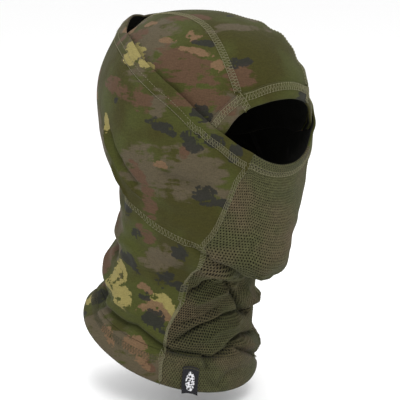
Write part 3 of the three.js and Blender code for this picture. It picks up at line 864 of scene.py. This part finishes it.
class BALACLAVA_OT_mask(bpy.types.Operator):
    """Builds the perforated face panel, its folded top edge and its side seams"""
    bl_idname = "balaclava.mask"
    bl_label = "Face mesh"

    def execute(self, context):
        p = settings()

        def binding(s, t):
            far = -mesh_side(MASK_TOP - 8 + BINDING * t)
            turn = mix(-far, far, s)
            return chart(turn, mask_top(turn) + BINDING * t)
        grid("mask_edge_fold", binding, 90, 10, outer_lift, p.hem, ["mask_top_binding"], mesh_mats(),
             pulled="edge", puff=1.2)

        def stitches(u):
            turn = mix(-24.5, 24.5, np.asarray(u, float))
            return chart(turn, mask_top(turn) + BINDING + 0.5)
        seam("mask_edge_row", stitches, 0, 1, 5.0, lambda x, y: outer_lift(x, y) + p.hem - 0.2, None, mesh_mats(),
             pulled="edge", band=False)

        def face(s, t):
            plain = mix(MASK_TOP - 8 + BINDING, HEM_TOP, t)
            turn = mix(mesh_side(plain), -mesh_side(plain), s)
            return chart(turn, mix(mask_top(turn) + BINDING, HEM_TOP, t))
        self.lattice(p, face)

        def lining(s, t):
            down = mix(MASK_TOP - 4, HEM_TOP + 6, t)
            turn = mix(mesh_side(down), -mesh_side(down), s)
            return chart(turn, mix(mask_top(turn) + 4, HEM_TOP + 6, t))
        grid("face_mesh_lining", lining, 90, 130, lambda x, y: outer_lift(x, y) - 0.9, 0.3, [],
             [bpy.data.materials["inside"]] * 2, pulled=True)

        def side_line(a, b):
            def at(u):
                down = mix(a, b, np.asarray(u, float))
                return chart(mesh_side(down), down)
            return at
        for side, flip in SIDES:
            seam(f"mesh_join_{side}", side_line(163, 318), 0, 1, p.tape, lambda x, y: outer_lift(x, y) + p.fabric,
                 f"mesh_seam_{side}", cloth_mats(), pulled=True, flip=flip, thread="thread_dim")
            seam(f"hem_join_{side}", side_line(318.6, 340), 0, 1, p.tape, lambda x, y: outer_lift(x, y) + p.hem,
                 f"hem_seam_{side}", cloth_mats(), flip=flip, thread="thread_dim")
        return {"FINISHED"}

    def lattice(self, p, face):
        """Holes on a staggered grid: each is a hexagon, joined by quads to its neighbours and by triangles
        at the points where three holes meet."""
        cols = int(117 / p.pitch)
        rows = int(156 / (p.pitch * 0.866))
        i, j = np.meshgrid(np.arange(cols), np.arange(rows), indexing="ij")
        cu = (i + 0.5 * (j % 2)) + 0.25
        cv = j * 0.866
        k = np.arange(6)
        angle = np.radians(30 + 60 * k)
        radius = (p.hole / p.pitch * (0.84 + 0.36 * smooth((cv / ((rows - 1) * 0.866) - 0.35) / 0.25)))[..., None]
        u = (cu[..., None] + radius * np.cos(angle)) / cols
        v = (cv[..., None] + radius * np.sin(angle)) / ((rows - 1) * 0.866)
        s, t = np.clip(u, 0.004, 0.996), np.clip(v, 0.0, 1.0)
        x, y = face(s, t)
        points = surface(x, y, outer_lift(x, y) + p.fabric).reshape(-1, 3)
        hole = lambda a, b, c: (a * rows + b) * 6 + c
        quads, tris = [], []
        for parity in (0, 1):
            a, b = np.meshgrid(np.arange(cols), np.arange(parity, rows, 2), indexing="ij")
            shift = parity
            for da, db, e in ((1, 0, 0), (shift, 1, 1), (shift - 1, 1, 2)):
                ok = (a + da < cols) & (a + da >= 0) & (b + db < rows)
                aa, bb = a[ok], b[ok]
                first, second = (e - 1) % 6, e % 6
                quads.append(np.stack([hole(aa, bb, first), hole(aa + da, bb + db, (e + 3) % 6),
                                       hole(aa + da, bb + db, (e + 2) % 6), hole(aa, bb, second)], -1))
            ok = (a + 1 < cols) & (b + 1 < rows) & (a + shift < cols)
            aa, bb = a[ok], b[ok]
            tris.append(np.stack([hole(aa, bb, 0), hole(aa + 1, bb, 2), hole(aa + shift, bb + 1, 4)], -1))
            ok = (b + 1 < rows) & (a + shift - 1 >= 0) & (a + shift < cols)
            aa, bb = a[ok], b[ok]
            tris.append(np.stack([hole(aa, bb, 1), hole(aa + shift, bb + 1, 3),
                                  hole(aa + shift - 1, bb + 1, 5)], -1))
        quads = np.concatenate(quads)
        tris = np.concatenate(tris)
        faces = []
        for block in (quads, tris):
            q = points[block]
            n = np.cross(q[:, 1] - q[:, 0], q[:, 2] - q[:, 0])
            out = head_normal(x.ravel()[block[:, 0]], y.ravel()[block[:, 0]])
            turned = np.where((n * out).sum(1, keepdims=True) < 0, block[:, ::-1], block)
            faces += turned.tolist()
        even = face(*np.meshgrid(np.linspace(0, 1, 121), np.linspace(0, 1, 161), indexing="ij"))
        whole = surface(*even, outer_lift(*even) + p.fabric)
        # The crease attribute carries the painted shade in the creases and the painted shadow under the chin.
        obj = make_object("face_mesh", points, faces, [bpy.data.materials["netting_plain"],
                                                        bpy.data.materials["inside"]],
                          {"crease": crease_shade(x, y)})
        solidify(obj, p.fabric * 0.7)
        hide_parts("face_mesh_panel")
        attach(obj, True)


class BALACLAVA_OT_neck(bpy.types.Operator):
    """Builds the neck panels and their seams"""
    bl_idname = "balaclava.neck"
    bl_label = "Neck"

    def execute(self, context):
        p = settings()

        def panel(s, t):
            line = mix(-180.0, mesh_side(226.0), s)
            down = mix(neck_down(line), HEM_TOP, t)
            front = mesh_side(mix(neck_down(mesh_side(226.0)), HEM_TOP, t))
            return chart(mix(-180.0, front, s), down)

        def join(u):
            turn = mix(-179.0, -51.0, np.asarray(u, float))
            return chart(turn, neck_down(turn))

        def back(u):
            return chart(180.0, mix(195, 317, u))
        top = lambda x, y: outer_lift(x, y) + p.fabric
        for side, flip in SIDES:
            grid(f"neck_{side}", panel, 190, 110, outer_lift, p.fabric, [f"neck_panel_{side}"],
                 cloth_mats(), flip=flip)
            seam(f"neck_join_{side}", join, 0, 1, p.tape, top, f"neck_seam_{side}", cloth_mats(), flip=flip,
                 thread="thread_dim")
        seam("neck_back", back, 0, 1, p.tape, top, "neck_back_seam", cloth_mats())
        return {"FINISHED"}


class BALACLAVA_OT_hem(bpy.types.Operator):
    """Builds the folded bottom hem and its stitch rows"""
    bl_idname = "balaclava.hem"
    bl_label = "Bottom hem"

    def execute(self, context):
        p = settings()
        top = lambda x, y: outer_lift(x, y) + p.hem
        line = 326.0

        def low(turn):
            return HEM_EDGE + 4.5 * smooth((120 - np.abs(turn)) / 50)

        def front(s, t):
            plain = mix(HEM_TOP, HEM_EDGE, t)
            turn = mix(mesh_side(plain), -mesh_side(plain), s)
            return chart(turn, mix(HEM_TOP, low(turn), t))

        def side_part(s, t):
            turn = mix(-180.0, mesh_side(mix(HEM_TOP, HEM_EDGE, t)), s)
            return chart(turn, mix(HEM_TOP, low(turn), t))

        def row(a, b):
            return lambda u: chart(mix(a, b, np.asarray(u, float)), line)
        grid("hem_front", front, 110, 26, outer_lift, p.hem, ["bottom_hem_front"], mesh_mats(),
             puff=1.3)
        seam("hem_row_front", row(-48, 48), 0, 1, p.tape, top, "bottom_hem_stitch_front", mesh_mats(), band=False,
             rungs=1.0, thread="thread_dark")
        for side, flip in SIDES:
            grid(f"hem_{side}", side_part, 170, 26, outer_lift, p.hem, [f"bottom_hem_{side}"],
                 cloth_mats(), puff=1.3, flip=flip)
            seam(f"hem_row_{side}", row(-179, -55), 0, 1, p.tape, top, f"bottom_hem_stitch_{side}", cloth_mats(),
                 flip=flip, band=False, thread="thread_dark")
        return {"FINISHED"}


class BALACLAVA_OT_label(bpy.types.Operator):
    """Builds the tag on the hem with its plain oval mark and stitches"""
    bl_idname = "balaclava.label"
    bl_label = "Tag"

    def execute(self, context):
        line = lambda u: chart(-32.0, mix(324.0, 343.0, np.asarray(u, float)))
        flat = lambda x, y: 2.0 + 2.2 + 2.0 + 0.9 + 0 * x
        grid("tag", lambda s, t: beside(line, s, (t - 0.5) * 12.4), 24, 16, flat, 0.6, ["label_tag"],
             [bpy.data.materials["tag"]] * 2)

        def oval(s, t):
            a, b = 2 * s - 1, 2 * t - 1
            return beside(line, 0.55 + 0.36 * a * np.sqrt(1 - b * b / 2), 3.4 * b * np.sqrt(1 - a * a / 2))
        grid("tag_oval", oval, 20, 16, lambda x, y: flat(x, y) + 0.62, 0.12, ["label_mark"],
             [bpy.data.materials["mark"]] * 2)
        seam("tag_stitches", lambda u: beside(line, 0.07, mix(-5.6, 5.6, np.asarray(u, float))), 0, 1, 1.0,
             lambda x, y: flat(x, y) + 0.6, "label_stitch", cloth_mats(), band=False, pitch=1.4,
             thread="thread_dark")
        return {"FINISHED"}


class BALACLAVA_OT_stage(bpy.types.Operator):
    """Builds the floor, the lights and the camera"""
    bl_idname = "balaclava.stage"
    bl_label = "Stage"

    def execute(self, context):
        scene = context.scene
        world = bpy.data.worlds.new("studio")
        scene.world = world
        world.use_nodes = True
        world.node_tree.nodes["Background"].inputs[0].default_value = (1, 1, 1, 1)
        world.node_tree.nodes["Background"].inputs[1].default_value = 1.0
        data = bpy.data.meshes.new("floor")
        z = float(CAD_LOW[2]) - 0.02
        data.from_pydata([(-6, -6, z), (6, -6, z), (6, 6, z), (-6, 6, z)], [], [(0, 1, 2, 3)])
        floor = bpy.data.objects.new("floor", data)
        scene.collection.objects.link(floor)
        mat, _, bsdf = new_material("floor")
        bsdf.inputs["Base Color"].default_value = (0.97, 0.97, 0.97, 1)
        bsdf.inputs["Roughness"].default_value = 0.9
        data.materials.append(mat)
        az, el, dist = math.radians(-42), math.radians(11), 1.2
        target = Vector((0.001, 0, -0.0385))
        back = Vector((math.sin(az) * math.cos(el), -math.cos(az) * math.cos(el), math.sin(el)))
        cam = bpy.data.objects.new("camera", bpy.data.cameras.new("camera"))
        scene.collection.objects.link(cam)
        cam.location = target + back * dist
        cam.rotation_euler = back.to_track_quat("Z", "Y").to_euler()
        cam.data.lens = 128.6
        cam.data.sensor_width = 36
        scene.camera = cam
        for name, spot, size, power in (("key", (-0.9, -1.3, 1.5), 0.8, 22), ("front", (0.9, -1.6, 0.7), 1.2, 3),
                                        ("top", (0, 0.2, 1.9), 1.2, 10), ("rim", (-1.3, 1.0, 0.8), 0.9, 8)):
            light = bpy.data.lights.new(name, "AREA")
            light.size = size
            light.energy = power
            obj = bpy.data.objects.new(name, light)
            obj.location = spot
            obj.rotation_euler = Vector(spot).to_track_quat("Z", "Y").to_euler()
            scene.collection.objects.link(obj)
        scene.view_settings.view_transform = "Standard"
        return {"FINISHED"}


class BALACLAVA_PT_panel(bpy.types.Panel):
    """Lists the settings and the building steps"""
    bl_label = "Balaclava"
    bl_idname = "BALACLAVA_PT_panel"
    bl_space_type = "VIEW_3D"
    bl_region_type = "UI"
    bl_category = "Balaclava"

    def draw(self, context):
        for key in BalaclavaSettings.__annotations__:
            self.layout.prop(context.scene.balaclava, key)
        for step in STEPS:
            self.layout.operator(step.bl_idname)


STEPS = (BALACLAVA_OT_materials, BALACLAVA_OT_crown, BALACLAVA_OT_brow, BALACLAVA_OT_hood, BALACLAVA_OT_mask,
         BALACLAVA_OT_neck, BALACLAVA_OT_hem, BALACLAVA_OT_label, BALACLAVA_OT_stage)
CLASSES = (BalaclavaSettings, *STEPS, BALACLAVA_PT_panel)


def register():
    """Adds the classes and the settings."""
    for cls in CLASSES:
        bpy.utils.register_class(cls)
    bpy.types.Scene.balaclava = bpy.props.PointerProperty(type=BalaclavaSettings)


def unregister():
    """Removes the classes and the settings."""
    del bpy.types.Scene.balaclava
    for cls in reversed(CLASSES):
        bpy.utils.unregister_class(cls)


def main():
    """Builds every piece."""
    register()
    for step in STEPS:
        group, name = step.bl_idname.split(".")
        getattr(getattr(bpy.ops, group), name)()


if __name__ == "__main__":
    main()
